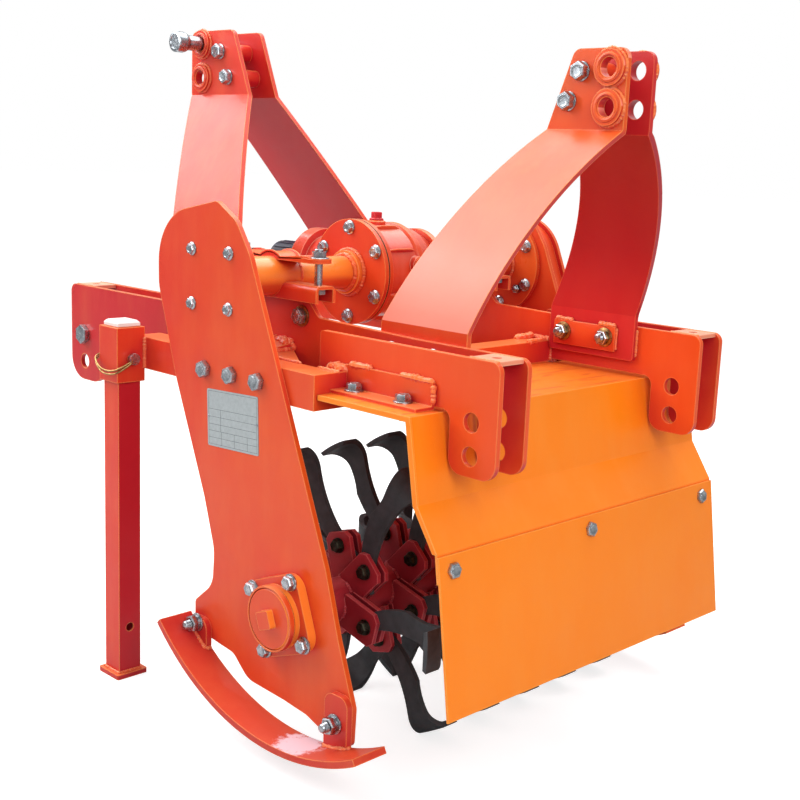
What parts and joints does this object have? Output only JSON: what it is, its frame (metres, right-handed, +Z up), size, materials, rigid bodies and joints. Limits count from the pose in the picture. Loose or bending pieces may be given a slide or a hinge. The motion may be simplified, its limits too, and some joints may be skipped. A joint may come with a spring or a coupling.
{
  "type": "rotary tiller",
  "caption": "Compact rotary tiller with a three-point hitch at both ends, curved blades under an open-sided hood, side skids and a drop-down parking stand.",
  "frame": {"origin": "on the floor, midway between the beams' ends and midway between the skids", "axes": "+X to the machine's right, +Y forwards in the direction of travel, +Z up"},
  "size_m": [0.776, 1, 1.0571],
  "materials": {
    "orange_red_paint": "satin orange-red enamel",
    "red_paint": "satin red enamel",
    "bright_orange_paint": "satin orange enamel",
    "dark_red_paint": "satin dark red enamel",
    "blade_black": "thin black paint",
    "zinc": "zinc plated",
    "white_plastic": "moulded white",
    "navy_plastic": "moulded dark blue"
  },
  "bodies": {
    "frame": {"beam_cheeks_front": "red_paint", "beam_cheeks_rear": "red_paint", "beam_left_long_plate": "red_paint", "beam_right_long_plate": "red_paint", "bearing_housing": "orange_red_paint", "clamp_bolts": "zinc", "clamp_straps": "orange_red_paint", "clevis_bridges": "orange_red_paint", "cross_member_front": "orange_red_paint", "cross_member_rear": "orange_red_paint", "cross_tube_left": "orange_red_paint", "cross_tube_right": "orange_red_paint", "drive_case": "orange_red_paint", "drive_case_cover": "orange_red_paint", "gearbox_cover": "orange_red_paint", "gearbox_housing": "orange_red_paint", "hitch_pins": "zinc", "hood": "bright_orange_paint", "hood_angles": "orange_red_paint", "mast_front_left_strap": "orange_red_paint", "mast_front_right_strap": "orange_red_paint", "mast_front_spacers": "orange_red_paint", "mast_rear_left_strap": "orange_red_paint", "mast_rear_right_strap": "orange_red_paint", "mast_rear_spacers": "orange_red_paint", "side_bars": "orange_red_paint", "side_plate_left": "orange_red_paint", "side_plate_right": "orange_red_paint", "skid_left": "orange_red_paint", "skid_right": "orange_red_paint", "stand_pin": "zinc", "stand_socket": "orange_red_paint", "top_link_pin": "zinc", "trailing_board": "bright_orange_paint", "tube_saddles": "orange_red_paint"},
    "rotor": {"blades_1": "blade_black", "blades_2": "blade_black", "blades_3": "blade_black", "blades_4": "blade_black", "blades_5": "blade_black", "rotor_shaft": "dark_red_paint"},
    "pto_shaft": {"pto_shaft": "zinc", "pto_cap": "navy_plastic"},
    "stand": {"stand": "orange_red_paint", "stand_cap": "white_plastic"}
  },
  "joints": [
    {"name": "rotor_spin", "type": "hinge", "parent": "frame", "child": "rotor", "pos_m": [0, -0.191, 0.21064], "axis": [1, 0, 0], "continuous": true},
    {"name": "pto_spin", "type": "hinge", "parent": "frame", "child": "pto_shaft", "pos_m": [0, -0.005, 0.66714], "axis": [0, 1, 0], "continuous": true},
    {"name": "stand_slide", "type": "slide", "parent": "frame", "child": "stand", "axis": [0, 0, 1], "range_m": [0, 0.4433]}
  ],
  "couplings": [
    {"joint": "pto_spin", "follows": "rotor_spin", "ratio": 2.4}
  ]
}
